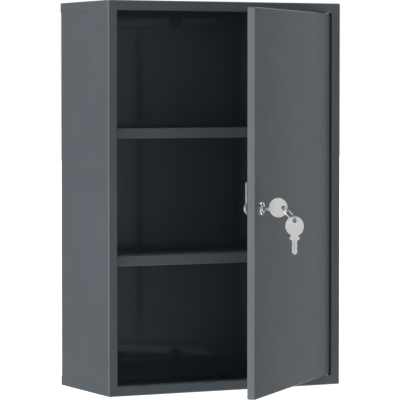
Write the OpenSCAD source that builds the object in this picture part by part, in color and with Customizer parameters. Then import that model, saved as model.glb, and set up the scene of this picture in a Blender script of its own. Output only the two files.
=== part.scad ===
// Wall cabinet in folded sheet steel with one inset, lockable door.
// Origin: centre of the underside. +X right, +Y to the wall, +Z up. Millimetres.

/* [Cabinet] */
// Overall width of the cabinet
cab_w = 306.5; // [280:0.5:330]
// Overall height of the cabinet
cab_h = 460; // [430:1:490]
// Overall depth of the cabinet
cab_d = 140; // [120:1:170]
// Thickness of the folded sheet steel
sheet = 0.8; // [0.7:0.1:0.9]
// Outside radius of every sheet bend
bend_r = 1.5; // [1.3:0.1:1.8]
// Height of the top and bottom rails and of the cap flanges
rail_h = 11.5; // [11:0.5:14]
// Width of the two front stiles
stile_w = 11.5; // [10.5:0.1:13]
// Depth of the folded edge around the door opening
reveal = 14; // [13:0.5:14]

/* [Shelves] */
// Height of the upper shelf's top face above the base
shelf_upper_z = 311.5; // [290:0.5:330]
// Height of the lower shelf's top face above the base
shelf_lower_z = 162.3; // [140:0.5:180]
// Height of the shelves' front lip
shelf_lip = 12.1; // [10:0.1:14]

/* [Door] */
// How far the door stands open in the stored pose, in degrees
door_open = 43.7; // [0:0.1:100]
// Thickness of the door pan
door_t = 10; // [9:0.1:10]
// Gap between the door and the stile on the hinge side
gap_hinge = 2.1; // [1.8:0.1:2.5]
// Gap between the door and the stile on the lock side
gap_lock = 1.4; // [1:0.1:2]
// Gap above and below the door
gap_z = 0.8; // [0.8:0.1:1.5]
// Distance from the door's hinge edge to the pivot
pivot_in = 4.4; // [4:0.1:5]
// Radius of the hinge pins
pin_r = 2; // [1.8:0.1:2.1]

/* [Lock] */
// Distance from the door's free edge to the lock axis
lock_in = 20.3; // [19:0.1:24]
// Height of the lock axis above the base
lock_z = 224.6; // [215:0.1:245]
// Radius of the lock's threaded barrel
barrel_r = 6.8; // [6.6:0.1:6.9]
// Reach of the cam from the lock axis
cam_reach = 29; // [26:0.5:31]
// Radius of the turning plug
plug_r = 5.2; // [5.1:0.05:5.2]

/* [Keys] */
// Radius of a key's round head
head_r = 10.9; // [10:0.1:11]
// Thickness of a key
key_t = 2; // [1.8:0.1:2.1]
// Radius of the key ring at the middle of its wire
ring_r = 9.65; // [9:0.05:10.5]
// Radius of the key ring's wire
wire_r = 0.7; // [0.6:0.05:0.9]

/* [Hidden] */
$fn = 64;

hx = cab_w / 2;
hy = cab_d / 2;
mid_z = cab_h / 2;
open_x = hx - stile_w;              // half width of the door opening
rear_lip = -hy + reveal;            // rear face of the folded opening edge
rc = bend_r - sheet / 2;            // bend radius at the middle of the sheet
tiny_gap = 0.15;                    // hairline between a side and a cap flange
back_in = hy - 2 * sheet;           // front face of the back panel

door_x0 = -open_x + gap_lock;       // free edge of the closed door
door_x1 = open_x - gap_hinge;       // hinge edge of the closed door
door_z0 = rail_h + gap_z;
door_z1 = cab_h - rail_h - gap_z;
door_lip = 9;                       // width of the pan's return lips
pivot_x = door_x1 - pivot_in;
pivot_y = -hy + door_t / 2;
bush_r = 3.1;
run = 0.05;                         // radial running clearance

lock_x = door_x0 + lock_in;
barrel_end = -14.6;                 // in the lock's own frame, +Z outwards
cam_z = -15;
cam_t = 2;
bolt_h = 1.7;                       // height of the cam screw's head

hole_off = 6;                       // from a head's centre to its ring hole
key_head_z = 20;                    // centre of the inserted key's head
key_rise = 1;                       // how far that centre stands above the lock axis
hole1 = [key_rise, key_head_z + hole_off]; // [up, out] of the inserted key's hole
lean = 42.8;                        // how far the ring leans out, degrees
hole2 = [hole1[0] - 2 * ring_r * cos(lean), hole1[1] + 2 * ring_r * sin(lean)];
ring_c = [(hole1[0] + hole2[0]) / 2, (hole1[1] + hole2[1]) / 2];

steel_grey = [0.30, 0.33, 0.35];
plated = [0.78, 0.79, 0.80];
zinc = [0.70, 0.71, 0.72];

// ---------- helpers ----------

module boxp(a, b) {
  translate(a) cube([b[0] - a[0], b[1] - a[1], b[2] - a[2]]);
}

function unit2(v) = v / norm(v);

// One straight run of sheet in section
module run2(a, b, t) {
  translate([min(a[0], b[0]) - (a[0] == b[0] ? t / 2 : 0),
             min(a[1], b[1]) - (a[1] == b[1] ? t / 2 : 0)])
    square([abs(a[0] - b[0]) + (a[0] == b[0] ? t : 0),
            abs(a[1] - b[1]) + (a[1] == b[1] ? t : 0)]);
}

// Section of a sheet folded at right angles along its middle line
module folded(p, t = sheet, r = rc) {
  n = len(p);
  for (i = [0 : n - 2]) {
    d = unit2(p[i + 1] - p[i]);
    run2(p[i] + (i > 0 ? r : 0) * d, p[i + 1] - (i < n - 2 ? r : 0) * d, t);
  }
  for (i = [1 : n - 2]) {
    d1 = unit2(p[i] - p[i - 1]);
    d2 = unit2(p[i + 1] - p[i]);
    q = d1 - d2;
    ro = r + t / 2;
    translate(p[i] - r * d1 + r * d2) intersection() {
      difference() {
        circle(r = ro);
        circle(r = r - t / 2);
      }
      translate([q[0] < 0 ? -ro : 0, q[1] < 0 ? -ro : 0]) square(ro);
    }
  }
}

// Block with all edges and corners rounded
module rounded_block(a, b, r) {
  boxp([a[0] + r, a[1] + r, a[2]], [b[0] - r, b[1] - r, b[2]]);
  boxp([a[0] + r, a[1], a[2] + r], [b[0] - r, b[1], b[2] - r]);
  boxp([a[0], a[1] + r, a[2] + r], [b[0], b[1] - r, b[2] - r]);
  for (x = [a[0] + r, b[0] - r]) for (y = [a[1] + r, b[1] - r])
    translate([x, y, a[2] + r]) cylinder(r = r, h = b[2] - a[2] - 2 * r);
  for (x = [a[0] + r, b[0] - r]) for (z = [a[2] + r, b[2] - r])
    translate([x, a[1] + r, z]) rotate([-90, 0, 0])
      cylinder(r = r, h = b[1] - a[1] - 2 * r);
  for (y = [a[1] + r, b[1] - r]) for (z = [a[2] + r, b[2] - r])
    translate([a[0] + r, y, z]) rotate([0, 90, 0])
      cylinder(r = r, h = b[0] - a[0] - 2 * r);
  for (x = [a[0] + r, b[0] - r]) for (y = [a[1] + r, b[1] - r])
    for (z = [a[2] + r, b[2] - r]) translate([x, y, z]) sphere(r = r);
}

// Extrudes a section drawn in [y, z] along X
module along_x(x0, x1) {
  translate([x0, 0, 0]) rotate([90, 0, 90]) linear_extrude(height = x1 - x0)
    children();
}

module flip_z() {
  translate([0, 0, cab_h]) mirror([0, 0, 1]) children();
}

// Swings a piece drawn with the door closed to the stored pose
module at_door() {
  translate([pivot_x, pivot_y, 0]) rotate([0, 0, door_open])
    translate([-pivot_x, -pivot_y, 0]) children();
}

// The lock's own frame: +Z out of the door, +Y up, origin on the door face
module at_lock() {
  at_door() translate([lock_x, -hy, lock_z]) rotate([90, 0, 0]) children();
}

// ---------- carcass ----------

// Cap pan: plate, side and rear flanges, front rail and folded edge
module cap() {
  difference() {
    rounded_block([-hx, -hy, 0], [hx, hy, 40], bend_r);
    boxp([-hx + sheet, -hy + sheet, sheet], [hx - sheet, hy - sheet, 50]);
    boxp([-hx - 1, -hy - 1, rail_h], [hx + 1, hy + 1, 50]);
    boxp([-open_x, -hy - 1, rail_h - bend_r], [open_x, -hy + 5, 50]);
  }
  difference() {
    along_x(-open_x, open_x)
      folded([[-hy + sheet / 2, rail_h - bend_r],
              [-hy + sheet / 2, rail_h - sheet / 2],
              [rear_lip - sheet / 2, rail_h - sheet / 2],
              [rear_lip - sheet / 2, rail_h - 8]]);
    translate([pivot_x, pivot_y, 0]) cylinder(r = bush_r + 0.02, h = 30);
  }
}

module bottom_cap() { color(steel_grey) cap(); }
module top_cap() { color(steel_grey) flip_z() cap(); }

// Side with front stile, folded opening edge and rear flange
module side() {
  color(steel_grey) {
    difference() {
      translate([0, 0, rail_h]) linear_extrude(height = cab_h - 2 * rail_h)
        folded([[-open_x - 7.5, rear_lip - sheet / 2],
                [-open_x - sheet / 2, rear_lip - sheet / 2],
                [-open_x - sheet / 2, -hy + sheet / 2],
                [-hx + sheet / 2, -hy + sheet / 2],
                [-hx + sheet / 2, back_in - sheet / 2],
                [-hx + 12, back_in - sheet / 2]]);
      for (z = [rail_h, cab_h - rail_h - tiny_gap])
        boxp([-hx - 1, -hy + bend_r, z], [-hx + sheet, hy, z + tiny_gap]);
    }
    for (z = [[sheet + 0.1, 15], [cab_h - 15, cab_h - sheet - 0.1]])
      boxp([-hx + sheet, -hy + 10, z[0]], [-hx + 2 * sheet, hy - 8, z[1]]);
  }
}

module side_panel_left() { side(); }
module side_panel_right() { mirror([1, 0, 0]) side(); }

// Flat back with four wall holes
module back_panel() {
  color(steel_grey) difference() {
    boxp([-hx + 1.7, back_in, sheet + 0.1], [hx - 1.7, hy - sheet, cab_h - sheet - 0.1]);
    for (x = [-120, 120]) for (z = [40, cab_h - 40])
      translate([x, back_in - 1, z]) rotate([-90, 0, 0]) cylinder(r = 3.5, h = 5);
  }
}

// ---------- shelves ----------

shelf_y0 = rear_lip + 1.5;
shelf_y1 = back_in - sheet - 0.1;

screw_y = [-35, 45];
screw_x = hx - sheet - 6;

module shelf(z) {
  color(steel_grey) difference() {
    translate([0, 0, z]) along_x(-hx + sheet + 0.2, hx - sheet - 0.2)
      folded([[shelf_y0 + 6, -shelf_lip + sheet / 2],
              [shelf_y0 + sheet / 2, -shelf_lip + sheet / 2],
              [shelf_y0 + sheet / 2, -sheet / 2],
              [shelf_y1 - sheet / 2, -sheet / 2],
              [shelf_y1 - sheet / 2, -shelf_lip + 1]]);
    for (x = [-screw_x, screw_x]) for (y = screw_y)
      translate([x, y, z - 3]) cylinder(r = 1.55, h = 5);
  }
}

module shelf_upper() { shelf(shelf_upper_z); }
module shelf_lower() { shelf(shelf_lower_z); }

// Angle spot-welded to a side, under a shelf
module bracket(z, s) {
  color(steel_grey) difference() {
    union() {
      boxp([s > 0 ? hx - sheet - 1 : -hx + sheet, shelf_y0 + 9, z - sheet - 10],
           [s > 0 ? hx - sheet : -hx + sheet + 1, shelf_y1 - 4, z - sheet]);
      boxp([s > 0 ? hx - sheet - 11 : -hx + sheet, shelf_y0 + 9, z - sheet - 1],
           [s > 0 ? hx - sheet : -hx + sheet + 11, shelf_y1 - 4, z - sheet]);
    }
    for (y = screw_y) translate([s * screw_x, y, z - 4]) cylinder(r = 1.55, h = 5);
  }
}

module bracket_upper_left() { bracket(shelf_upper_z, -1); }
module bracket_upper_right() { bracket(shelf_upper_z, 1); }
module bracket_lower_left() { bracket(shelf_lower_z, -1); }
module bracket_lower_right() { bracket(shelf_lower_z, 1); }

// Pan-head screws driven up through the brackets into the shelves
module shelf_screws() {
  color(zinc)
    for (z = [shelf_upper_z, shelf_lower_z]) for (x = [-screw_x, screw_x])
      for (y = screw_y) translate([x, y, z - sheet - 1]) {
        cylinder(r = 1.5, h = sheet + 1);
        difference() {
          translate([0, 0, -2]) cylinder(r1 = 2.4, r2 = 3, h = 2);
          for (a = [0, 90]) rotate([0, 0, a]) translate([-1.8, -0.3, -2.5]) cube([3.6, 0.6, 1.5]);
        }
      }
}

// ---------- hinge, cabinet side ----------

// Flanged nylon bush in the folded edge
module bush() {
  color("ivory") translate([pivot_x, pivot_y, 0]) difference() {
    union() {
      translate([0, 0, rail_h - 4.8]) cylinder(r = bush_r, h = 4.8);
      translate([0, 0, rail_h]) cylinder(r = 4.2, h = 0.6);
    }
    cylinder(r = pin_r + run, h = 30);
  }
}

module hinge_bush_bottom() { bush(); }
module hinge_bush_top() { flip_z() bush(); }

// Stop tab behind the door, welded to the folded edge
stop_x = 60;
stop_t = 1.2;
module stop_tab() {
  color(steel_grey) translate([stop_x, rear_lip, 0]) rotate([90, 0, 0])
    mirror([0, 0, 1]) linear_extrude(height = stop_t) difference() {
      union() {
        translate([-9, rail_h - 8]) square([18, 16]);
        translate([-5, rail_h]) square([10, 12]);
        for (x = [-5, 5]) translate([x, rail_h + 8]) circle(r = 4);
      }
      translate([0, rail_h + 6.5]) circle(r = 1.6);
    }
}

module door_stop_bottom() { stop_tab(); }
module door_stop_top() { flip_z() stop_tab(); }

// Rubber buttons pushed into the stop tabs
module buffer() {
  translate([stop_x, 0, rail_h + 6.5]) {
    translate([0, -hy + door_t + 0.1, 0]) rotate([-90, 0, 0])
      cylinder(r1 = 3.6, r2 = 4.4, h = reveal - door_t - 0.1);
    translate([0, rear_lip, 0]) rotate([-90, 0, 0]) cylinder(r = 1.6, h = stop_t);
    translate([0, rear_lip + stop_t, 0]) rotate([-90, 0, 0]) cylinder(r1 = 2.6, r2 = 1.8, h = 1.6);
  }
}

module door_buffers() {
  color([0.12, 0.12, 0.13]) {
    buffer();
    flip_z() buffer();
  }
}

// ---------- door ----------

module door_panel() {
  color(steel_grey) at_door() difference() {
    rounded_block([door_x0, -hy, door_z0], [door_x1, -hy + door_t, door_z1], bend_r);
    boxp([door_x0 + sheet, -hy + sheet, door_z0 + sheet],
         [door_x1 - sheet, -hy + door_t - sheet, door_z1 - sheet]);
    boxp([door_x0 + door_lip, -hy + sheet + 1, door_z0 + door_lip],
         [door_x1 - door_lip, -hy + door_t + 1, door_z1 - door_lip]);
    // mitre cuts where the return lips meet
    for (c = [[door_x0, door_z0, 45], [door_x1, door_z0, 135],
              [door_x1, door_z1, -135], [door_x0, door_z1, -45]])
      translate([c[0], -hy + door_t - sheet - 0.05, c[1]]) rotate([0, -c[2], 0])
        translate([3, 0, -0.2]) cube([14, 3, 0.4]);
    // pin holes and lock hole
    for (z = [door_z0 - 1, door_z1 - sheet - 0.5])
      translate([pivot_x, pivot_y, z]) cylinder(r = pin_r + run, h = sheet + 1.5);
    translate([lock_x, -hy - 1, lock_z]) rotate([-90, 0, 0])
      cylinder(r = barrel_r + 0.1, h = 3);
  }
}

// Hat section down the middle of the door
module door_stiffener() {
  color(steel_grey) at_door() translate([0, -hy + sheet, door_z0 + 24])
    linear_extrude(height = door_z1 - door_z0 - 48)
      folded([[-28, 0.4], [-16, 0.4], [-16, 6.4], [16, 6.4], [16, 0.4], [28, 0.4]]);
}

// Plate behind the face that takes the load of the lock
module lock_plate() {
  color(zinc) at_door() difference() {
    boxp([lock_x - 15, -hy + sheet, lock_z - 26], [lock_x + 24, -hy + sheet + 1, lock_z + 26]);
    translate([lock_x, -hy, lock_z]) rotate([-90, 0, 0]) cylinder(r = barrel_r + 0.1, h = 5);
  }
}

// Angle inside the door that carries the far end of a hinge pin
module pin_bracket() {
  color(zinc) at_door() difference() {
    union() {
      boxp([door_x1 - 30, -hy + sheet, door_z0 + 10], [door_x1 - sheet - 0.1, -hy + door_t - sheet - 0.1, door_z0 + 11.6]);
      boxp([door_x1 - 30, -hy + sheet, door_z0 + 10], [door_x1 - 9, -hy + sheet + 1.6, door_z0 + 34]);
    }
    translate([pivot_x, pivot_y, door_z0 + 9]) cylinder(r = pin_r + run, h = 5);
  }
}

module hinge_bracket_bottom() { pin_bracket(); }
module hinge_bracket_top() { flip_z() pin_bracket(); }

// Hinge pin with its retaining ring
module pin() {
  color(plated) at_door() translate([pivot_x, pivot_y, 0]) {
    translate([0, 0, rail_h - 5]) cylinder(r1 = pin_r - 0.4, r2 = pin_r, h = 0.4);
    translate([0, 0, rail_h - 4.6]) cylinder(r = pin_r, h = door_z0 + 15 - rail_h + 4.6);
    translate([0, 0, door_z0 + 11.6]) cylinder(r = 3.3, h = 1);
  }
}

module hinge_pin_bottom() { pin(); }
module hinge_pin_top() { flip_z() pin(); }

// ---------- lock, fixed parts ----------

// Bezel and threaded barrel with two flats
module lock_housing() {
  color(plated) at_lock() difference() {
    union() {
      rotate_extrude() polygon([[0, 0], [7.8, 0], [7.8, 1.15], [7.6, 1.55],
        [7.2, 1.8], [0, 1.8]]);
      intersection() {
        translate([0, 0, barrel_end]) cylinder(r = barrel_r, h = -barrel_end);
        translate([-barrel_r + 0.8, -20, barrel_end - 1]) cube([2 * barrel_r - 1.6, 40, 30]);
      }
    }
    translate([0, 0, barrel_end - 1]) cylinder(r = plug_r + run, h = 30);
    translate([0, 0, 0.1]) cylinder(r = plug_r + 0.7, h = 5);
    translate([0, 0, 1.4]) cylinder(r1 = plug_r + 0.7, r2 = plug_r + 1.1, h = 0.41);
  }
}

module lock_nut() {
  color(plated) at_lock() difference() {
    translate([0, 0, -sheet - 1 - 3]) rotate([0, 0, 30]) cylinder(r = 10.4, h = 3, $fn = 6);
    translate([0, 0, -8]) cylinder(r = barrel_r + 0.02, h = 10);
  }
}

// ---------- lock, turning parts ----------

wafer_z = [-2, -4.4, -6.8, -9.2, -11.6];

module lock_plug() {
  color(zinc) at_lock() difference() {
    union() {
      translate([0, 0, 0.15]) cylinder(r = plug_r + 0.6, h = 0.85);
      translate([0, 0, 0.9]) cylinder(r1 = 3.5, r2 = 2.4, h = 1);
      translate([0, 0, barrel_end - 0.2]) cylinder(r = plug_r, h = -barrel_end + 0.4);
      translate([-3.4, -3.4, cam_z - cam_t]) cube([6.8, 6.8, 3]);
    }
    translate([-key_t / 2 - 0.2, -3.5, -13]) cube([key_t + 0.4, 7, 20]);
    for (z = wafer_z) translate([-2.9, -4.4, z - 0.6]) cube([5.8, 8.8, 1.2]);
    translate([0, 0, cam_z - cam_t - 1]) cylinder(r = 2.5, h = 4.4);
  }
}

// Spring-loaded tumblers in the plug, all held level by the key
module lock_wafers() {
  color("goldenrod") at_lock() for (z = wafer_z)
    difference() {
      translate([-2.7, -4.15, z - 0.5]) cube([5.4, 8.3, 1]);
      translate([-key_t / 2 - 0.3, -3.55, z - 1]) cube([key_t + 0.6, 7.1, 2]);
    }
}

module lock_cam() {
  color(zinc) at_lock() translate([0, 0, cam_z - cam_t]) difference() {
    linear_extrude(height = cam_t) difference() {
      union() {
        circle(r = 8);
        translate([-5.8, 0]) square([11.6, cam_reach - 2.4]);
        translate([-3.4, 0]) square([6.8, cam_reach]);
        for (x = [-3.4, 3.4]) translate([x, cam_reach - 2.4]) circle(r = 2.4);
      }
      translate([-3.45, -3.45]) square(6.9);
    }
  }
}

module cam_washer() {
  color(zinc) at_lock() translate([0, 0, cam_z - cam_t - 0.5]) difference() {
    cylinder(r = 5.6, h = 0.5);
    translate([0, 0, -1]) cylinder(r = 2.6, h = 3);
  }
}

module cam_screw() {
  color(zinc) at_lock() {
    translate([0, 0, cam_z - cam_t - 0.5 - bolt_h]) cylinder(r = 5.6, h = bolt_h, $fn = 6);
    translate([0, 0, cam_z - cam_t - 0.6]) cylinder(r = 2.5, h = 3.8);
  }
}

// ---------- keys ----------

// Round head with a ring hole, lying in the plane x = 0 around [y, z] = c
module key_head(c) {
  translate([-key_t / 2, c[0], c[1]]) rotate([0, 90, 0]) cylinder(r = head_r, h = key_t);
}

module key_hole(h) {
  translate([-key_t, h[0], h[1]]) rotate([0, 90, 0]) cylinder(r = 2.3, h = 2 * key_t);
}

// Key standing in the lock
module key() {
  color(plated) at_lock() difference() {
    union() {
      key_head([key_rise, key_head_z]);
      translate([-key_t / 2, -2.5, 3.4]) cube([key_t, 3.2, key_head_z - 12]);
      translate([-key_t / 2, -2.2, 0]) cube([key_t, 4.4, 3.8]);
      translate([-key_t / 2, -3.25, -9.3]) cube([key_t, 6.5, 9.9]);
      translate([-key_t / 2, 0, -9.3]) rotate([0, 90, 0]) cylinder(r = 3.25, h = key_t);
    }
    key_hole(hole1);
    for (s = [-1, 1]) translate([s * key_t / 2 - 0.35, -0.6, -14]) cube([0.7, 1.2, 14.5]);
  }
}

// Ring through the holes of both keys
module key_ring() {
  color(plated) at_lock() translate([0, ring_c[0], ring_c[1]]) rotate([-lean, 0, 0])
    rotate_extrude($fn = 96) translate([ring_r, 0]) circle(r = wire_r, $fn = 24);
}

// Second key hanging from the ring
module spare_key() {
  cy = hole2[0] - hole_off;
  cz = hole2[1];
  color(plated) at_lock() difference() {
    union() {
      key_head([cy, cz]);
      translate([-key_t / 2, cy - 13, cz - 4.4]) cube([key_t, 6, 8.8]);
      translate([-key_t / 2, cy - 15.2, cz - 5.9]) cube([key_t, 3.6, 11.8]);
      translate([-key_t / 2, cy - 28.8, cz - 3.25]) cube([key_t, 14.5, 6.5]);
      translate([-key_t / 2, cy - 28.8, cz]) rotate([0, 90, 0]) cylinder(r = 3.25, h = key_t);
    }
    key_hole(hole2);
    for (s = [-1, 1]) translate([s * key_t / 2 - 0.35, cy - 32.5, cz - 0.6]) cube([0.7, 17.9, 1.2]);
  }
}

top_cap();
bottom_cap();
side_panel_left();
side_panel_right();
back_panel();
shelf_upper();
shelf_lower();
bracket_upper_left();
bracket_upper_right();
bracket_lower_left();
bracket_lower_right();
shelf_screws();
hinge_bush_top();
hinge_bush_bottom();
door_stop_top();
door_stop_bottom();
door_buffers();
door_panel();
door_stiffener();
lock_plate();
hinge_bracket_top();
hinge_bracket_bottom();
hinge_pin_top();
hinge_pin_bottom();
lock_housing();
lock_nut();
lock_plug();
lock_wafers();
lock_cam();
cam_washer();
cam_screw();
key();
key_ring();
spare_key();
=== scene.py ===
import math

import bmesh
import bpy
from mathutils import Matrix, Vector


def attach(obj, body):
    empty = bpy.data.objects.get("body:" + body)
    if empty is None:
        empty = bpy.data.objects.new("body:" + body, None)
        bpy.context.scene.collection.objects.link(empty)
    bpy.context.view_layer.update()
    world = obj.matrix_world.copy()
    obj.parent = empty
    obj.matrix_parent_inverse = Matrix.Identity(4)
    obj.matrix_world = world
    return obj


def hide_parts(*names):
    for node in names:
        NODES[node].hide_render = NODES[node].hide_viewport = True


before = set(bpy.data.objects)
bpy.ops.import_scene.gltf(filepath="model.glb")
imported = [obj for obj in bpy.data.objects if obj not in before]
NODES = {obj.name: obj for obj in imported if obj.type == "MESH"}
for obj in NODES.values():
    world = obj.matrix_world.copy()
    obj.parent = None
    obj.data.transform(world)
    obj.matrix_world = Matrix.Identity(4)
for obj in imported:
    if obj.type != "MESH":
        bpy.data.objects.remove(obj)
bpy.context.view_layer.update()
MM = 0.001

# ---------------------------------------------------------------- the lock's own frame
# The same numbers as the part's: door swung open about its pivot, the lock on its face.
HX, HY = 153.25, 70.0
DOOR_X0 = -(HX - 11.5) + 1.4
PIVOT = Vector((HX - 11.5 - 2.1 - 4.4, -HY + 5.0, 0.0))
OPEN = math.radians(43.7)
T = Vector((math.cos(OPEN), math.sin(OPEN), 0.0))        # along the door, away from its free edge
N = Vector((math.sin(OPEN), -math.cos(OPEN), 0.0))       # out of the door's face
LOCK0 = PIVOT + (DOOR_X0 + 20.3 - PIVOT.x) * T + (HY + PIVOT.y) * N + Vector((0, 0, 224.6))
LOCK = Matrix(((T.x, 0.0, N.x, LOCK0.x * MM),
               (T.y, 0.0, N.y, LOCK0.y * MM),
               (0.0, 1.0, 0.0, LOCK0.z * MM),
               (0.0, 0.0, 0.0, 1.0)))
HOLE1 = (1.0, 26.0)                                       # (up, out)
LEAN = math.radians(42.8)
RING_R = 9.65
HOLE2 = (HOLE1[0] - 2 * RING_R * math.cos(LEAN), HOLE1[1] + 2 * RING_R * math.sin(LEAN))
RING_C = ((HOLE1[0] + HOLE2[0]) / 2, (HOLE1[1] + HOLE2[1]) / 2)

# ---------------------------------------------------------------- materials


class Mat:
    """A node material: a Principled shader and short calls that add nodes and link them."""

    def __init__(self, name, **values):
        self.m = bpy.data.materials.new(name)
        self.m.use_nodes = True
        self.nt = self.m.node_tree
        self.nt.nodes.clear()
        self.out = self.nt.nodes.new("ShaderNodeOutputMaterial")
        self.bsdf = self.nt.nodes.new("ShaderNodeBsdfPrincipled")
        self.nt.links.new(self.bsdf.outputs["BSDF"], self.out.inputs["Surface"])
        for k, v in values.items():
            self.bsdf.inputs[k.replace("_", " ")].default_value = v
        self.coord = self.nt.nodes.new("ShaderNodeTexCoord").outputs["Object"]
        self.geo = self.nt.nodes.new("ShaderNodeNewGeometry")

    def put(self, socket, value):
        if isinstance(value, bpy.types.NodeSocket):
            self.nt.links.new(value, socket)
        else:
            socket.default_value = value

    def scaled(self, v):
        n = self.nt.nodes.new("ShaderNodeMapping")
        n.inputs["Scale"].default_value = v
        self.nt.links.new(self.coord, n.inputs["Vector"])
        return n.outputs["Vector"]

    def noise(self, scale, detail=2.0, rough=0.5, vector=None, distortion=0.0):
        n = self.nt.nodes.new("ShaderNodeTexNoise")
        n.inputs["Scale"].default_value = scale
        n.inputs["Detail"].default_value = detail
        n.inputs["Roughness"].default_value = rough
        n.inputs["Distortion"].default_value = distortion
        self.nt.links.new(vector or self.coord, n.inputs["Vector"])
        return n.outputs["Fac"]

    def voronoi(self, scale, feature="F1", vector=None, out="Distance"):
        n = self.nt.nodes.new("ShaderNodeTexVoronoi")
        n.feature = feature
        n.inputs["Scale"].default_value = scale
        self.nt.links.new(vector or self.coord, n.inputs["Vector"])
        return n.outputs[out]

    def math(self, op, a, b=0.0, clamp=False):
        n = self.nt.nodes.new("ShaderNodeMath")
        n.operation = op
        n.use_clamp = clamp
        self.put(n.inputs[0], a)
        self.put(n.inputs[1], b)
        return n.outputs[0]

    def ramp(self, value, lo, hi, out_lo=0.0, out_hi=1.0, smooth=True):
        n = self.nt.nodes.new("ShaderNodeMapRange")
        n.interpolation_type = "SMOOTHSTEP" if smooth else "LINEAR"
        self.put(n.inputs["Value"], value)
        n.inputs["From Min"].default_value = lo
        n.inputs["From Max"].default_value = hi
        n.inputs["To Min"].default_value = out_lo
        n.inputs["To Max"].default_value = out_hi
        return n.outputs["Result"]

    def mix(self, fac, a, b, blend="MIX"):
        n = self.nt.nodes.new("ShaderNodeMix")
        n.data_type = "RGBA"
        n.blend_type = blend
        self.put(n.inputs["Factor"], fac)
        for name, v in (("A", a), ("B", b)):
            s = [i for i in n.inputs if i.name == name and i.type == "RGBA"][0]
            self.put(s, v if isinstance(v, bpy.types.NodeSocket) else (*v, 1.0))
        return [o for o in n.outputs if o.type == "RGBA"][0]

    def grey(self, value):
        n = self.nt.nodes.new("ShaderNodeCombineColor")
        for i in range(3):
            self.put(n.inputs[i], value)
        return n.outputs["Color"]

    def bevel(self, radius, samples=4):
        n = self.nt.nodes.new("ShaderNodeBevel")
        n.samples = samples
        n.inputs["Radius"].default_value = radius
        return n.outputs["Normal"]

    def edges(self, radius, lo, hi, samples=4):
        """1 along outer and inner edges, 0 on flat faces."""
        n = self.nt.nodes.new("ShaderNodeVectorMath")
        n.operation = "DOT_PRODUCT"
        self.nt.links.new(self.bevel(radius, samples), n.inputs[0])
        self.nt.links.new(self.geo.outputs["Normal"], n.inputs[1])
        return self.ramp(self.math("SUBTRACT", 1.0, n.outputs["Value"]), lo, hi)

    def up(self, lo=0.7, hi=0.95):
        """1 on faces that look up."""
        n = self.nt.nodes.new("ShaderNodeSeparateXYZ")
        self.nt.links.new(self.geo.outputs["Normal"], n.inputs[0])
        return self.ramp(n.outputs["Z"], lo, hi)

    def bump(self, height, distance, strength=1.0, normal=None):
        n = self.nt.nodes.new("ShaderNodeBump")
        n.inputs["Strength"].default_value = strength
        n.inputs["Distance"].default_value = distance
        self.nt.links.new(height, n.inputs["Height"])
        if normal is not None:
            self.nt.links.new(normal, n.inputs["Normal"])
        self.nt.links.new(n.outputs["Normal"], self.bsdf.inputs["Normal"])
        return n

    def base(self, c):
        self.put(self.bsdf.inputs["Base Color"], c)

    def rough(self, r):
        self.put(self.bsdf.inputs["Roughness"], r)


def powder(name, colour, rough=0.30, seed=0.0, ior=1.5, relief=0.6, tint=(1.0, 1.0, 1.0)):
    """Satin powder coat: fine orange peel, faint drift and pigment speckle, edges rubbed lighter and smoother; the
    lighter edge colour is partly rubbed coat and partly a painted highlight along bends and edges.
    """
    m = Mat(name, IOR=ior, Specular_Tint=(*tint, 1.0))
    shift = m.nt.nodes.new("ShaderNodeMapping")
    shift.inputs["Location"].default_value = (seed, seed * 0.7, -seed)
    m.nt.links.new(m.coord, shift.inputs["Vector"])
    m.coord = shift.outputs["Vector"]
    drift = m.noise(7.0, 3.0, 0.55)
    speck = m.noise(1900.0, 1.0)
    peel = m.noise(620.0, 2.0, 0.45)
    fine = m.noise(2300.0, 1.0)
    edge = m.edges(1.3 * MM, 0.015, 0.16)
    rub_and_highlight = m.math("MULTIPLY", edge, m.ramp(m.noise(90.0, 4.0, 0.65), 0.42, 0.62, 0.25, 1.0))
    c = m.mix(m.ramp(drift, 0.3, 0.7, 0.0, 1.0), [x * 0.965 for x in colour], [x * 1.035 for x in colour])
    c = m.mix(m.ramp(speck, 0.35, 0.68, 0.0, 0.22), c, [x * 1.45 for x in colour])
    # Painted highlight: edges and bends are made lighter, partly as rubbed coat and partly as a highlight painted
    # into the colour.
    c = m.mix(m.math("MULTIPLY", rub_and_highlight, 0.28), c, [min(1.0, x * 1.7 + 0.015) for x in colour])
    dust = m.math("MULTIPLY", m.up(), m.ramp(m.noise(26.0, 5.0, 0.6), 0.40, 0.75, 0.0, 0.16))
    c = m.mix(dust, c, (0.26, 0.265, 0.27))
    m.base(c)
    r = m.ramp(m.noise(34.0, 4.0, 0.6), 0.3, 0.7, rough - 0.025, rough + 0.035)
    r = m.math("ADD", r, m.math("MULTIPLY", dust, 0.6))
    r = m.math("SUBTRACT", r, m.math("MULTIPLY", rub_and_highlight, 0.05))
    m.rough(r)
    h = m.math("ADD", m.math("MULTIPLY", peel, 1.0), m.math("MULTIPLY", fine, 0.18))
    m.bump(h, 0.012 * MM, relief)
    return m.m


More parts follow.
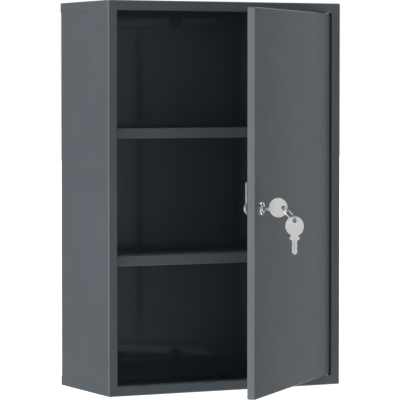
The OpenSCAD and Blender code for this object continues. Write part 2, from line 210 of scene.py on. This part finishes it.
def plated(name, colour, rough, grain=(1.0, 1.0, 1.0), spangle=0.0, edge_r=0.35, tarnish=0.1, vary=1.0):
    """Bright plated metal with fine directional scratches, thin tarnish in random clouds and polished edges."""
    m = Mat(name, Metallic=1.0)
    scratch = m.noise(900.0, 3.0, 0.7, m.scaled(grain))
    fine = m.noise(4200.0, 2.0, 0.6, m.scaled(grain))
    cloud = m.noise(70.0, 4.0, 0.6)
    edge = m.edges(edge_r * MM, 0.01, 0.14)
    c = m.mix(m.ramp(cloud, 0.35, 0.7, 0.0, 1.0), colour, [x * (1.0 - tarnish) for x in colour])
    if spangle:
        cells = m.voronoi(240.0)
        c = m.mix(m.ramp(cells, 0.1, 0.7, 0.0, spangle), c, [x * 0.72 for x in colour])
    c = m.mix(m.math("MULTIPLY", edge, 0.6), c, [min(1.0, x * 1.08 + 0.03) for x in colour])
    m.base(c)
    r = m.ramp(scratch, 0.3, 0.72, rough * (1.0 - 0.25 * vary), rough * (1.0 + 0.35 * vary))
    r = m.math("ADD", r, m.ramp(cloud, 0.4, 0.75, 0.0, 0.06 * vary))
    r = m.math("SUBTRACT", r, m.math("MULTIPLY", edge, rough * 0.35))
    m.rough(r)
    h = m.math("ADD", m.math("MULTIPLY", scratch, 0.7), m.math("MULTIPLY", fine, 0.3))
    m.bump(h, 0.004 * MM, 0.5, m.bevel(edge_r * 0.6 * MM))
    return m.m


def plastic(name, colour, rough, bump=0.01, scale=900.0, ior=1.49, scatter=0.0):
    m = Mat(name, IOR=ior)
    cloud = m.noise(120.0, 4.0, 0.6)
    grain = m.noise(scale, 3.0, 0.6)
    edge = m.edges(0.35 * MM, 0.01, 0.14)
    c = m.mix(m.ramp(cloud, 0.3, 0.7), [x * 0.93 for x in colour], [min(1.0, x * 1.05) for x in colour])
    c = m.mix(m.math("MULTIPLY", edge, 0.35), c, [min(1.0, x * 1.25 + 0.02) for x in colour])
    m.base(c)
    m.rough(m.ramp(grain, 0.3, 0.7, rough - 0.06, rough + 0.08))
    m.bump(grain, bump * MM, 0.5, m.bevel(0.25 * MM))
    return m.m


GREY = (0.0735, 0.0850, 0.0945)
coat = powder("powder_coat", GREY, 0.30, 0.0)
# Painted shade: the back panel gets a copy of the body coat made 6 % darker, to keep the back wall as dark as its
# shade; it is also glossier, with blue-tinted reflections.
coat_back_painted_shade = powder("powder_coat_back", [c * 0.94 for c in GREY], 0.07, 0.0, 2.05, 0.22, (0.86, 0.96, 1.0))
# Painted light: the shelves get a copy of the body coat made 8 % lighter, lifting them where they sit in shade inside
# the cabinet.
coat_shelf_painted_light = powder("powder_coat_shelf", [c * 1.08 for c in GREY], 0.30, 1.7)
coat_door = powder("powder_coat_door", GREY, 0.30, 3.1)
zinc = plated("zinc_plate", (0.64, 0.65, 0.67), 0.30, spangle=0.5, tarnish=0.14)
chrome = plated("lock_chrome", (0.86, 0.87, 0.88), 0.10, tarnish=0.03)
bezel_chrome = plated("bezel_chrome", (0.80, 0.805, 0.81), 0.08, edge_r=0.2, tarnish=0.03, vary=0.5)
# Painted shade: the plug is coloured near black so that the recess around the key looks shaded.
plug_painted_shade = plated("plug_painted_shade", (0.13, 0.13, 0.134), 0.34, edge_r=0.15, tarnish=0.1)
steel = plated("pin_steel", (0.60, 0.60, 0.61), 0.26, (1.0, 1.0, 0.08))
nickel = plated("key_nickel", (0.305, 0.305, 0.308), 0.30, (0.25, 0.25, 1.6), tarnish=0.05, vary=0.4)
cam_zinc = plated("cam_zinc", (0.24, 0.24, 0.245), 0.46, (1.0, 1.0, 1.0), spangle=0.35, tarnish=0.15)
wire = plated("ring_wire", (0.62, 0.62, 0.62), 0.20, tarnish=0.05)
brass = plated("wafer_brass", (0.72, 0.52, 0.24), 0.28, (1.0, 1.0, 0.1), tarnish=0.2)
nylon = plastic("nylon", (0.72, 0.70, 0.64), 0.42, 0.006)
rubber = plastic("rubber", (0.030, 0.030, 0.032), 0.62, 0.02, 1500.0, 1.52)

COAT = ["top_cap", "bottom_cap", "side_panel_left", "side_panel_right",
        "bracket_upper_left", "bracket_upper_right", "bracket_lower_left",
        "bracket_lower_right", "door_stop_top", "door_stop_bottom"]
COAT_DOOR = ["door_panel", "door_stiffener", "hinge_bracket_top", "hinge_bracket_bottom"]
FINISH = {coat: COAT, coat_back_painted_shade: ["back_panel"], coat_shelf_painted_light: ["shelf_upper", "shelf_lower"], coat_door: COAT_DOOR,
          zinc: ["lock_plate", "shelf_screws", "lock_nut", "lock_cam", "cam_washer", "cam_screw"],
          steel: ["hinge_pin_top", "hinge_pin_bottom"], chrome: ["lock_housing"], plug_painted_shade: ["lock_plug"],
          nickel: ["key", "spare_key"], wire: ["key_ring"], brass: ["lock_wafers"],
          nylon: ["hinge_bush_top", "hinge_bush_bottom"], rubber: ["door_buffers"]}


def finish(obj, mat):
    if not obj.material_slots:
        obj.data.materials.append(mat)
    for s in obj.material_slots:
        s.material = mat


for mat, names in FINISH.items():
    for n in names:
        finish(NODES[n], mat)

# ---------------------------------------------------------------- mesh helpers


def new_piece(name, bm, mat, place, body, stands_for=(), sharp=32.0, bevel=0.0, segments=2, limit=30.0, merge=0.0):
    """A mesh piece in millimetres of a frame, put in place, with its edges rounded."""
    bmesh.ops.recalc_face_normals(bm, faces=bm.faces)
    me = bpy.data.meshes.new(name)
    bm.to_mesh(me)
    bm.free()
    obj = bpy.data.objects.new(name, me)
    bpy.context.scene.collection.objects.link(obj)
    def baked():
        bpy.context.view_layer.update()
        dg = bpy.context.evaluated_depsgraph_get()
        done = bpy.data.meshes.new_from_object(obj.evaluated_get(dg))
        obj.modifiers.clear()
        obj.data = done
        done.name = name
        return done

    if bevel:
        b = obj.modifiers.new("edges", "BEVEL")
        b.width = bevel
        b.segments = segments
        b.limit_method = "ANGLE"
        b.angle_limit = math.radians(limit)
        b.miter_outer = "MITER_ARC"
        b.use_clamp_overlap = True
        me = baked()
        if merge:
            bm = bmesh.new()
            bm.from_mesh(me)
            bmesh.ops.remove_doubles(bm, verts=bm.verts, dist=merge)
            bmesh.ops.dissolve_degenerate(bm, dist=merge * 0.7, edges=bm.edges)
            bm.to_mesh(me)
            bm.free()
        me.shade_smooth()
        w = obj.modifiers.new("flats", "WEIGHTED_NORMAL")     # the big flat faces keep their own normals
        w.mode = "FACE_AREA"
        w.weight = 100
        w.keep_sharp = False
        me = baked()
    me.transform(place @ Matrix.Diagonal((MM, MM, MM, 1.0)))
    if not bevel:
        me.shade_smooth()
        me.set_sharp_from_angle(angle=math.radians(sharp))
    me.materials.clear()
    me.materials.append(mat)
    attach(obj, body)
    if stands_for:
        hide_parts(*stands_for)
    return obj


def rounded(points, radii, steps=5):
    """A closed outline with its corners rounded. radii is one number or one per corner."""
    n = len(points)
    out = []
    for i in range(n):
        r = radii[i] if hasattr(radii, "__len__") else radii
        a, p, b = (Vector(points[(i + k) % n]) for k in (-1, 0, 1))
        u, v = (a - p).normalized(), (b - p).normalized()
        cosang = max(-1.0, min(1.0, u.dot(v)))
        ang = math.acos(cosang)
        if r <= 0 or ang > math.radians(176):
            out.append(tuple(p))
            continue
        d = r / math.tan(ang / 2)
        d = min(d, (a - p).length * 0.48, (b - p).length * 0.48)
        r = d * math.tan(ang / 2)
        centre = p + (u + v).normalized() * (r / math.sin(ang / 2))
        s, e = p + u * d - centre, p + v * d - centre
        a0 = math.atan2(s.y, s.x)
        turn = (math.atan2(e.y, e.x) - a0 + math.pi) % (2 * math.pi) - math.pi
        for k in range(steps + 1):
            t = a0 + turn * k / steps
            out.append((centre.x + r * math.cos(t), centre.y + r * math.sin(t)))
    return out


def circle(cx, cy, r, n=48, start=0.0):
    return [(cx + r * math.cos(start + 2 * math.pi * i / n), cy + r * math.sin(start + 2 * math.pi * i / n)) for i in range(n)]


def plate(loops, z0, z1, to3=lambda a, b, c: (a, b, c)):
    """A flat plate: the first loop is its outline, the others its holes. to3 turns (a, b, height) into x, y, z."""
    bm = bmesh.new()
    rings = []
    for loop in loops:
        vs = [bm.verts.new(to3(p[0], p[1], z0)) for p in loop]
        rings.append(vs)
    edges = []
    for vs in rings:
        for i in range(len(vs)):
            edges.append(bm.edges.new((vs[i], vs[(i + 1) % len(vs)])))
    made = bmesh.ops.triangle_fill(bm, use_beauty=True, use_dissolve=False, edges=edges)
    low = [g for g in made["geom"] if isinstance(g, bmesh.types.BMFace)]
    ext = bmesh.ops.extrude_face_region(bm, geom=low, use_keep_orig=True)
    up = Vector(to3(0, 0, z1)) - Vector(to3(0, 0, z0))
    bmesh.ops.translate(bm, verts=[g for g in ext["geom"] if isinstance(g, bmesh.types.BMVert)], vec=up)
    bmesh.ops.remove_doubles(bm, verts=bm.verts, dist=1e-5)
    return bm


def lathe(profile, seg=96, closed=True):
    """A solid of revolution about z. profile is a closed loop of (r, z); r 0 makes a pole."""
    bm = bmesh.new()
    rows = []
    for r, z in profile:
        if r < 1e-6:
            rows.append([bm.verts.new((0, 0, z))])
        else:
            rows.append([bm.verts.new((r * math.cos(2 * math.pi * i / seg), r * math.sin(2 * math.pi * i / seg), z)) for i in range(seg)])
    n = len(rows)
    for k in range(n if closed else n - 1):
        a, b = rows[k], rows[(k + 1) % n]
        for i in range(seg):
            j = (i + 1) % seg
            if len(a) == 1 and len(b) == 1:
                continue
            if len(a) == 1:
                bm.faces.new((a[0], b[i], b[j]))
            elif len(b) == 1:
                bm.faces.new((a[i], b[0], a[j]))
            else:
                bm.faces.new((a[i], b[i], b[j], a[j]))
    return bm


def hexagon(corner_r, z0, z1, bore, chamfer_top=True, chamfer_low=True, per=10, turn=0.0):
    """A hexagonal nut or bolt head with the turned chamfer that cuts its corners."""
    bm = bmesh.new()
    flat = corner_r * math.cos(math.pi / 6)
    rc = flat - 0.25
    ring = []
    for s in range(6):
        for k in range(per):
            a = math.radians(60 * s) + math.radians(60) * k / per
            local = (a + math.pi / 6) % (math.pi / 3) - math.pi / 6
            mid = (math.radians(60) * k / per) - math.pi / 6
            ring.append((a + turn, flat / math.cos(mid)))
    n = len(ring)

    def drop(r):
        return max(0.0, (r - rc)) * math.tan(math.radians(30))

    def row(fn):
        return [bm.verts.new((fn(r)[0] * math.cos(a), fn(r)[0] * math.sin(a), fn(r)[1])) for a, r in ring]

    low_flat = row(lambda r: (rc, z0))
    low = row(lambda r: (r, z0 + (drop(r) if chamfer_low else 0.0)))
    top = row(lambda r: (r, z1 - (drop(r) if chamfer_top else 0.0)))
    top_flat = row(lambda r: (rc, z1))
    if bore > 0:
        b_low = row(lambda r: (bore, z0 + 0.35))
        b_lo2 = row(lambda r: (bore + 0.35, z0))
        b_hi2 = row(lambda r: (bore + 0.35, z1))
        b_top = row(lambda r: (bore, z1 - 0.35))
        rows = [b_low, b_lo2, low_flat, low, top, top_flat, b_hi2, b_top]
        pairs = [(rows[i], rows[(i + 1) % len(rows)]) for i in range(len(rows))]
    else:
        pairs = [(low_flat, low), (low, top), (top, top_flat)]
        bm.faces.new(low_flat)
        bm.faces.new(top_flat)
    for a, b in pairs:
        for i in range(n):
            j = (i + 1) % n
            bm.faces.new((a[i], b[i], b[j], a[j]))
    return bm


def cut(obj_bm, cutters):
    """Subtracts closed bmesh solids from a bmesh solid."""
    def temp(bm, name):
        bmesh.ops.recalc_face_normals(bm, faces=bm.faces)
        me = bpy.data.meshes.new(name)
        bm.to_mesh(me)
        bm.free()
        o = bpy.data.objects.new(name, me)
        bpy.context.scene.collection.objects.link(o)
        return o
    base = temp(obj_bm, "tmp_base")
    tools = [temp(c, "tmp_cut") for c in cutters]
    for t in tools:
        mod = base.modifiers.new("cut", "BOOLEAN")
        mod.operation = "DIFFERENCE"
        mod.solver = "EXACT"
        mod.object = t
    bpy.context.view_layer.update()
    dg = bpy.context.evaluated_depsgraph_get()
    me = bpy.data.meshes.new_from_object(base.evaluated_get(dg))
    bm = bmesh.new()
    bm.from_mesh(me)
    for o in [base, *tools]:
        old = o.data
        bpy.data.objects.remove(o)
        bpy.data.meshes.remove(old)
    bpy.data.meshes.remove(me)
    bmesh.ops.remove_doubles(bm, verts=bm.verts, dist=1e-4)
    bmesh.ops.dissolve_degenerate(bm, dist=1e-4, edges=bm.edges)
    return bm


# ---------------------------------------------------------------- keys


def arc(cx, cy, r, a0, a1, n):
    return [(cx + r * math.cos(math.radians(a0 + (a1 - a0) * i / n)), cy + r * math.sin(math.radians(a0 + (a1 - a0) * i / n))) for i in range(n + 1)]


def groove(y0, y1, z0, z1, side):
    """A milled groove with sloping walls along one face of a blade. The blade lies in the plane x = 0."""
    bm = bmesh.new()
    x_out, x_in = side * 1.5, side * 0.62
    w, wi = 0.78, 0.42
    along_y = abs(y1 - y0) > abs(z1 - z0)
    if along_y:
        zc = (z0 + z1) / 2
        pts = [((x, y, zc + s * h)) for y in (y0, y1) for (x, s, h) in ((x_out, -1, w + 0.2), (x_in, -1, wi), (x_in, 1, wi), (x_out, 1, w + 0.2))]
    else:
        yc = (y0 + y1) / 2
        pts = [((x, yc + s * h, z)) for z in (z0, z1) for (x, s, h) in ((x_out, -1, w + 0.2), (x_in, -1, wi), (x_in, 1, wi), (x_out, 1, w + 0.2))]
    v = [bm.verts.new(p) for p in pts]
    for f in ((0, 1, 2, 3), (7, 6, 5, 4), (0, 4, 5, 1), (1, 5, 6, 2), (2, 6, 7, 3), (3, 7, 4, 0)):
        bm.faces.new([v[i] for i in f])
    return bm


CUTS = [(3.2, 0.42), (6.1, 0.75), (8.9, 0.30), (11.7, 0.62), (14.4, 0.38)]


def blade_side(half, start, step, sign):
    """The edge of a blade with its shallow cuts, from the shoulder to the tip, as (along, across)."""
    pts = []
    for d, depth in CUTS:
        w = depth * 1.1 + 0.55
        for t, k in ((-w, 0.0), (-0.55, 1.0), (0.55, 1.0), (w, 0.0)):
            pts.append((start + step * (d + t), sign * (half - depth * k)))
    return pts


# The key in the lock, drawn as (up, out) in the plane x = 0
head = arc(HOLE1[0], 20, 10.9, -86, 246, 88)         # from the neck's upper side round to its lower side
left = blade_side(3.25, 0.2, -0.62, -1)              # along = out, going in; across = up
right = blade_side(3.25, 0.2, -0.62, 1)
outline = list(head)
outline += [(-2.62, 9.2), (-2.5, 8.7), (-2.5, 4.5), (-2.3, 4.2), (-1.75, 4.1), (-1.75, 3.9), (-2.1, 3.7), (-2.2, 3.5),
            (-2.2, 0.8), (-2.5, 0.62), (-3.05, 0.55), (-3.25, 0.35)]
outline += [(c, a) for a, c in left]
outline += arc(0, -9.3, 3.25, 180, 360, 20)[2:-2]
outline += [(c, a) for a, c in reversed(right)]
outline += [(3.25, 0.35), (3.05, 0.55), (2.5, 0.62), (2.2, 0.8), (2.2, 3.5), (2.1, 3.7), (0.7, 3.9), (0.7, 8.1), (0.95, 8.75)]


def tidy(loop, gap=0.02):
    out = []
    for p in loop:
        if not out or (Vector(p) - Vector(out[-1])).length > gap:
            out.append(p)
    if (Vector(out[0]) - Vector(out[-1])).length <= gap:
        out.pop()
    return out


yz = lambda a, b, c: (c, a, b)
bm = plate([tidy(outline), circle(HOLE1[0], HOLE1[1], 2.3, 40)], -1.0, 1.0, yz)
bm = cut(bm, [groove(-0.2, 0.2, -14.5, 0.6, s) for s in (-1, 1)])
key_piece = new_piece("key_blank", bm, nickel, LOCK, "key", ["key"], 40.0, 0.16, 2, 38.0)

# The spare key, hanging: its blade runs down (-up) from the head
cy, cz = HOLE2[0] - 6.0, HOLE2[1]
head = arc(cz, cy, 10.9, -64, 244, 84)               # drawn as (out, up)
half = [(4.62, cy - 10.4), (4.35, cy - 11.1), (4.5, cy - 11.55), (5.3, cy - 11.8), (5.9, cy - 12.4),
        (5.9, cy - 14.4), (5.3, cy - 15.1), (4.2, cy - 15.25), (3.55, cy - 15.6), (3.25, cy - 16.3)]
right = [(cz + a, b) for a, b in half]
left = [(cz - a, b) for a, b in half]
cuts_r = [(cz + c, a) for a, c in blade_side(3.25, cy - 14.6, -0.9, 1)]
cuts_l = [(cz - c, a) for a, c in blade_side(3.25, cy - 14.6, -0.9, 1)]
tip = [(cz + 3.25, cy - 28.9), (cz + 2.75, cy - 29.5), (cz + 1.2, cy - 31.3), (cz + 0.3, cy - 32.0)]
tip_l = [(2 * cz - a, b) for a, b in reversed(tip)]
outline = list(reversed(head)) + right + [p for p in cuts_r if p[1] > cy - 28.8] + tip + tip_l \
    + [p for p in reversed(cuts_l) if p[1] > cy - 28.8] + list(reversed(left))
zy = lambda a, b, c: (c, b, a)
outline = tidy(outline)
bm = plate([outline, circle(cz, HOLE2[0], 2.3, 40)], -1.0, 1.0, zy)
bm = cut(bm, [groove(cy - 33.5, cy - 15.2, cz - 0.2, cz + 0.2, s) for s in (-1, 1)])
spare_piece = new_piece("spare_key_blank", bm, nickel, LOCK, "spare_key", ["spare_key"], 40.0, 0.16, 2, 38.0, 0.015)

# ---------------------------------------------------------------- split ring: two turns of flattened wire
bm = bmesh.new()
section = rounded([(-0.56, -0.31), (0.56, -0.31), (0.56, 0.31), (-0.56, 0.31)], 0.2, 3)
steps, turns = 150, 1.93
rows = []
for i in range(steps + 1):
    a = 2 * math.pi * turns * i / steps
    mid = min(1.0, max(0.0, (i / steps - 0.42) / 0.16))
    h = -0.33 + 0.66 * (mid * mid * (3 - 2 * mid))
    start = math.radians(100)
    rows.append([bm.verts.new(((RING_R + u) * math.cos(a + start), (RING_R + u) * math.sin(a + start), h + w)) for u, w in section])
for r0, r1 in zip(rows, rows[1:]):
    for i in range(len(section)):
        j = (i + 1) % len(section)
        bm.faces.new((r0[i], r1[i], r1[j], r0[j]))
bm.faces.new(rows[0])
bm.faces.new(rows[-1])
ring_place = LOCK @ Matrix.Translation((0, RING_C[0] * MM, RING_C[1] * MM)) @ Matrix.Rotation(-LEAN, 4, "X")
ring_piece = new_piece("split_ring", bm, wire, ring_place, "key_ring", ["key_ring"], 50.0)

# ---------------------------------------------------------------- lock housing: turned bezel, threaded barrel with flats
ring_loop = [(5.25, -1.2), (5.25, 0.1), (5.82, 0.1), (5.9, 0.2), (5.9, 1.3), (5.93, 1.45), (6.02, 1.6), (6.16, 1.71), (6.34, 1.78),
             (6.55, 1.8), (7.0, 1.8), (7.2, 1.77), (7.38, 1.7), (7.53, 1.59), (7.65, 1.45), (7.74, 1.28), (7.785, 1.12), (7.8, 0.95),
             (7.8, 0.14), (7.76, 0.03), (7.68, 0.0), (6.7, 0.0), (6.7, -1.2)]
bezel = new_piece("lock_bezel", lathe(ring_loop, 112), bezel_chrome, LOCK, "door", ["lock_housing"], 38.0)

bm = bmesh.new()
seg, pitch, z_top, z_end = 64, 1.0, -1.2, -14.6
rows = []
steps = int((z_top - z_end) / (pitch / 6))
for k in range(steps + 1):
    row = []
    z = z_top - k * pitch / 6
    for i in range(seg):
        a = 2 * math.pi * i / seg
        phase = ((z - a / (2 * math.pi) * pitch) / pitch) % 1.0
        tri = 1.0 - abs(2.0 * phase - 1.0)
        r = 6.3 + 0.48 * min(1.0, max(0.0, (tri - 0.12) / 0.72))
        fade = min(1.0, (k + 0.5) / 4, (steps - k + 0.5) / 5)
        r = 6.3 + (r - 6.3) * fade
        x, y = r * math.cos(a), r * math.sin(a)
        x = max(-6.0, min(6.0, x))
        row.append(bm.verts.new((x, y, z)))
    rows.append(row)
for r0, r1 in zip(rows, rows[1:]):
    for i in range(seg):
        j = (i + 1) % seg
        bm.faces.new((r0[i], r1[i], r1[j], r0[j]))
bore_top = [bm.verts.new((5.25 * math.cos(2 * math.pi * i / seg), 5.25 * math.sin(2 * math.pi * i / seg), z_top)) for i in range(seg)]
zl = rows[-1][0].co.z
bore_low = [bm.verts.new((5.25 * math.cos(2 * math.pi * i / seg), 5.25 * math.sin(2 * math.pi * i / seg), zl)) for i in range(seg)]
for a, b in ((bore_top, rows[0]), (rows[-1], bore_low), (bore_low, bore_top)):
    for i in range(seg):
        j = (i + 1) % seg
        bm.faces.new((a[i], b[i], b[j], a[j]))
barrel = new_piece("lock_barrel", bm, zinc, LOCK, "door", (), 24.0)

nut = new_piece("lock_hex_nut", hexagon(10.4, -4.8, -1.8, 6.82, True, True, 12, math.radians(30)), zinc, LOCK, "door", ["lock_nut"], 26.0)

# ---------------------------------------------------------------- turning parts at the back of the lock
low_a = math.degrees(math.acos(-5.8 / 8.0))
cam_outline = arc(3.4, 26.6, 2.4, 0, 90, 10) + arc(-3.4, 26.6, 2.4, 90, 180, 10) + [(-5.8, 9.0)]
cam_outline += arc(0, 0, 8, low_a, 540 - low_a, 44) + [(5.8, 9.0)]
square = rounded([(-3.45, -3.45), (3.45, -3.45), (3.45, 3.45), (-3.45, 3.45)], 0.3, 3)
cam = new_piece("lock_cam_arm", plate([tidy(cam_outline), square], -17.0, -15.0), cam_zinc, LOCK, "lock_core", ["lock_cam"], 40.0, 0.22, 3, 40.0)


def joined(parts):
    out = bmesh.new()
    for p in parts:
        me = bpy.data.meshes.new("tmp")
        p.to_mesh(me)
        p.free()
        out.from_mesh(me)
        bpy.data.meshes.remove(me)
    return out


shank = [(0, -17.7), (2.42, -17.7), (2.42, -16.6)]
for k in range(8):
    shank += [(2.08, -16.45 + 0.36 * k), (2.42, -16.27 + 0.36 * k)]
shank += [(1.9, -13.5), (0, -13.42)]
bm = joined([hexagon(5.6, -19.2, -17.5, 0.0, False, True, 10, 0.0), lathe(shank, 40, closed=False)])
screw = new_piece("cam_hex_screw", bm, zinc, LOCK, "lock_core", ["cam_screw"], 26.0)

# The plug's face is domed around the keyway
dome = lathe([(0, 0.97), (3.6, 0.97), (3.62, 1.12), (3.57, 1.3), (3.46, 1.48), (3.28, 1.65), (3.04, 1.79), (2.75, 1.89), (2.35, 1.97),
              (1.7, 2.02), (0, 2.04)], 64, closed=False)
keyway = plate([[(-1.2, -4.2), (1.2, -4.2), (1.2, 4.2), (-1.2, 4.2)]], 0.5, 3.0)
plug_face = new_piece("lock_plug_face", cut(dome, [keyway]), chrome, LOCK, "lock_core", (), 35.0)

# ---------------------------------------------------------------- spot welds where folded parts are joined


def weld(centre, axis, r=2.4, h=0.16):
    """The ring-shaped print an electrode leaves on painted sheet, sunk a little into it."""
    bm = lathe([(0, -0.12), (0, h * 0.2), (r * 0.5, h * 0.3), (r * 0.7, h), (r * 0.85, h * 0.85), (r, 0.0), (r, -0.12)], 32)
    rot = Vector((0, 0, 1)).rotation_difference(Vector(axis)).to_matrix().to_4x4()
    bmesh.ops.transform(bm, matrix=Matrix.Translation(centre) @ rot, verts=bm.verts)
    return bm


prints = []
for z in (311.5, 162.3):
    for side in (-1, 1):
        for y in (-32.0, 2.0, 36.0):
            prints.append(weld((side * 151.45, y, z - 6.2), (-side, 0, 0)))
for z in (18.2, 460 - 18.2):
    for x in (-5.0, 5.0):
        prints.append(weld((60 + x, -54.8, z - 12 if z < 200 else z + 12), (0, 1, 0), 1.9))
for side in (-1, 1):
    for k in range(7):
        prints.append(weld((side * 145.75, 69.2, 32 + 66 * k), (0, 1, 0), 2.4, 0.2))
welds = new_piece("spot_welds", joined(prints), coat, Matrix.Identity(4), "cabinet", (), 60.0)

# ---------------------------------------------------------------- stage: floor, light, camera
bm = bmesh.new()
bmesh.ops.create_grid(bm, x_segments=8, y_segments=8, size=9.0)
me = bpy.data.meshes.new("floor")
bm.to_mesh(me)
bm.free()
floor = bpy.data.objects.new("floor", me)
bpy.context.scene.collection.objects.link(floor)
fm = Mat("floor_pale", IOR=1.45)
fm.base(fm.mix(fm.ramp(fm.noise(3.0, 3.0), 0.3, 0.7), (0.80, 0.80, 0.80), (0.82, 0.82, 0.82)))
fm.rough(0.7)
fm.bsdf.inputs["Emission Color"].default_value = (1.0, 1.0, 1.0, 1.0)
fm.bsdf.inputs["Emission Strength"].default_value = 0.85
me.materials.append(fm.m)
floor.visible_diffuse = False
floor.visible_glossy = False
floor.visible_shadow = False

world = bpy.data.worlds.new("studio")
bpy.context.scene.world = world
world.use_nodes = True
wt = world.node_tree
wt.nodes.clear()
w_out = wt.nodes.new("ShaderNodeOutputWorld")
w_dir = wt.nodes.new("ShaderNodeTexCoord")
w_sep = wt.nodes.new("ShaderNodeSeparateXYZ")
wt.links.new(w_dir.outputs["Generated"], w_sep.inputs[0])
w_ang = wt.nodes.new("ShaderNodeMath")
w_ang.operation = "ARCTAN2"                                # 0 towards -Y, + towards +X
wt.links.new(w_sep.outputs["X"], w_ang.inputs[0])
w_neg = wt.nodes.new("ShaderNodeMath")
w_neg.operation = "MULTIPLY"
w_neg.inputs[1].default_value = -1.0
wt.links.new(w_sep.outputs["Y"], w_neg.inputs[0])
wt.links.new(w_neg.outputs[0], w_ang.inputs[1])
w_map = wt.nodes.new("ShaderNodeMapRange")
w_map.inputs["From Min"].default_value = -math.pi
w_map.inputs["From Max"].default_value = math.pi
wt.links.new(w_ang.outputs[0], w_map.inputs["Value"])
w_ramp = wt.nodes.new("ShaderNodeValToRGB")
w_ramp.color_ramp.interpolation = "LINEAR"
# The studio: a broad white wall on the left, a weak fill behind the camera, light card under the object.
# Degrees from the front towards the right, and how bright the wall is there.
WALL = [(-180, 0.5), (-166, 0.0), (-144, 0.08), (-120, 2.8), (-96, 2.9), (-72, 2.9), (-48, 0.35), (-24, 1.08), (0, 1.12), (24, 0.0), (128, 0.0), (142, 0.9), (166, 0.9), (180, 0.5)]
PEAK = 4.0
els = w_ramp.color_ramp.elements
while len(els) > 1:
    els.remove(els[-1])
for i, (deg, lum) in enumerate(WALL):
    pos = (deg + 180.0) / 360.0
    e = els[0] if i == 0 else els.new(pos)
    e.position = pos
    e.color = (lum / PEAK, lum / PEAK, lum / PEAK, 1.0)
wt.links.new(w_map.outputs["Result"], w_ramp.inputs["Fac"])


def w_math(op, a, b=0.0, clamp=False):
    n = wt.nodes.new("ShaderNodeMath")
    n.operation = op
    n.use_clamp = clamp
    for i, v in enumerate((a, b)):
        if isinstance(v, bpy.types.NodeSocket):
            wt.links.new(v, n.inputs[i])
        else:
            n.inputs[i].default_value = v
    return n.outputs[0]


z_dir = w_sep.outputs["Z"]
over = w_math("DIVIDE", w_math("SUBTRACT", w_math("ABSOLUTE", z_dir), 0.35), 0.35, True)
below = w_math("DIVIDE", w_math("SUBTRACT", w_math("MULTIPLY", z_dir, -1.0), 0.35), 0.35, True)
walls = w_math("MULTIPLY", w_math("MULTIPLY", w_ramp.outputs["Color"], PEAK), w_math("SUBTRACT", 1.0, over))
above = w_math("DIVIDE", w_math("SUBTRACT", z_dir, 0.90), 0.05, True)
w_strength = w_math("ADD", w_math("ADD", walls, w_math("MULTIPLY", below, 1.4)), w_math("MULTIPLY", above, 5.2))
w_bg = wt.nodes.new("ShaderNodeBackground")
w_bg.inputs["Color"].default_value = (1.0, 1.0, 1.0, 1.0)
wt.links.new(w_strength, w_bg.inputs["Strength"])
w_white = wt.nodes.new("ShaderNodeBackground")
w_white.inputs["Color"].default_value = (1.0, 1.0, 1.0, 1.0)
w_path = wt.nodes.new("ShaderNodeLightPath")
w_mix = wt.nodes.new("ShaderNodeMixShader")
wt.links.new(w_path.outputs["Is Camera Ray"], w_mix.inputs["Fac"])
wt.links.new(w_bg.outputs["Background"], w_mix.inputs[1])
wt.links.new(w_white.outputs["Background"], w_mix.inputs[2])
wt.links.new(w_mix.outputs["Shader"], w_out.inputs["Surface"])


def softbox(name, place, aim, size, power, colour=(1.0, 1.0, 1.0)):
    d = bpy.data.lights.new(name, "AREA")
    d.shape = "RECTANGLE"
    d.size, d.size_y = size
    d.energy = power
    d.color = colour
    o = bpy.data.objects.new(name, d)
    bpy.context.scene.collection.objects.link(o)
    o.location = place
    o.rotation_mode = "QUATERNION"
    o.rotation_quaternion = (Vector(aim) - Vector(place)).to_track_quat("-Z", "Y")
    o.visible_camera = False
    return o


def around(deg, dist, height=0.23):
    """A place at that bearing from the middle of the door."""
    a = math.radians(deg)
    return (0.06 + dist * math.sin(a), -0.15 - dist * math.cos(a), height)


softbox("right_strip", around(70, 0.8), (0.06, -0.15, 0.23), (0.35, 2.4), 5.0)
softbox("right_kicker", around(128, 0.42), (0.06, -0.15, 0.23), (0.3, 2.4), 0.88, (0.92, 0.97, 1.0))

cam_data = bpy.data.cameras.new("camera")
cam_data.sensor_width = 36.0
cam_data.lens = 2583.3 / 400.0 * 36.0
cam_data.clip_start, cam_data.clip_end = 0.1, 60.0
camera = bpy.data.objects.new("camera", cam_data)
bpy.context.scene.collection.objects.link(camera)
yaw, pitch = math.radians(26.381), math.radians(2.484)
look = Vector((math.sin(yaw) * math.cos(pitch), math.cos(yaw) * math.cos(pitch), -math.sin(pitch)))
camera.location = (-1.38363, -2.78819, 0.35845)
camera.rotation_mode = "QUATERNION"
camera.rotation_quaternion = look.to_track_quat("-Z", "Y")
bpy.context.scene.camera = camera
bpy.context.scene.view_settings.view_transform = "Standard"
